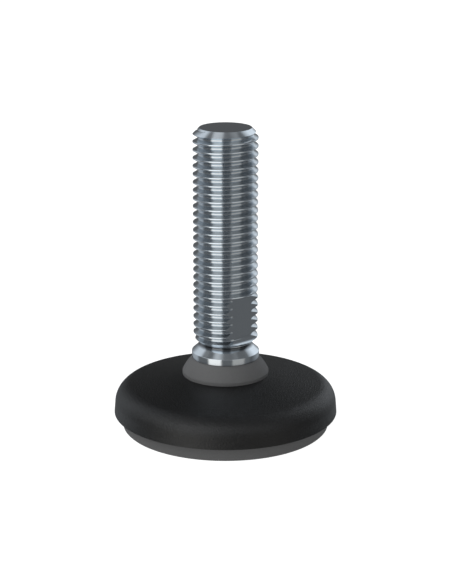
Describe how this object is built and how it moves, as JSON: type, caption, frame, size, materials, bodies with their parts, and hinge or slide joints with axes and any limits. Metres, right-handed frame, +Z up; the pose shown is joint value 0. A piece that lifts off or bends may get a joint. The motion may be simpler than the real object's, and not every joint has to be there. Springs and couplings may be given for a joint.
{
  "type": "machine foot",
  "caption": "Swivelling machine foot: a threaded steel spindle with spanner flats on a ball joint in a round plastic plate, with a soft seal and a rubber sole.",
  "frame": {"origin": "centre of the sole's underside, on the spindle's axis, where the foot meets the floor", "axes": "+Z up along the spindle's axis; +X and +Y level, with the spanner flats facing +X -Y and -X +Y"},
  "size_m": [0.07, 0.07, 0.095],
  "materials": {
    "zinc_plated_steel": "bright blue-white zinc plating on turned and rolled steel",
    "spring_steel": "plain spring wire",
    "black_nylon": "matte black glass-filled nylon with a fine moulded grain",
    "grey_seal_rubber": "matte mid-grey rubber",
    "grey_sole_rubber": "matte mid-grey rubber"
  },
  "bodies": {
    "plate": {"base_plate": "black_nylon", "sole_pad": "grey_sole_rubber", "retaining_ring": "spring_steel"},
    "seal_ring": {"seal": "grey_seal_rubber"},
    "spindle": {"spindle": "zinc_plated_steel"}
  },
  "joints": [
    {"name": "swivel", "type": "hinge", "parent": "plate", "child": "seal_ring", "pos_m": [0, 0, 0.0135], "axis": [0, 0, 1], "continuous": true},
    {"name": "tilt", "type": "hinge", "parent": "seal_ring", "child": "spindle", "pos_m": [0, 0, 0.0135], "axis": [0, 1, 0], "range_deg": [-10, 10], "deforming": ["seal"]}
  ]
}
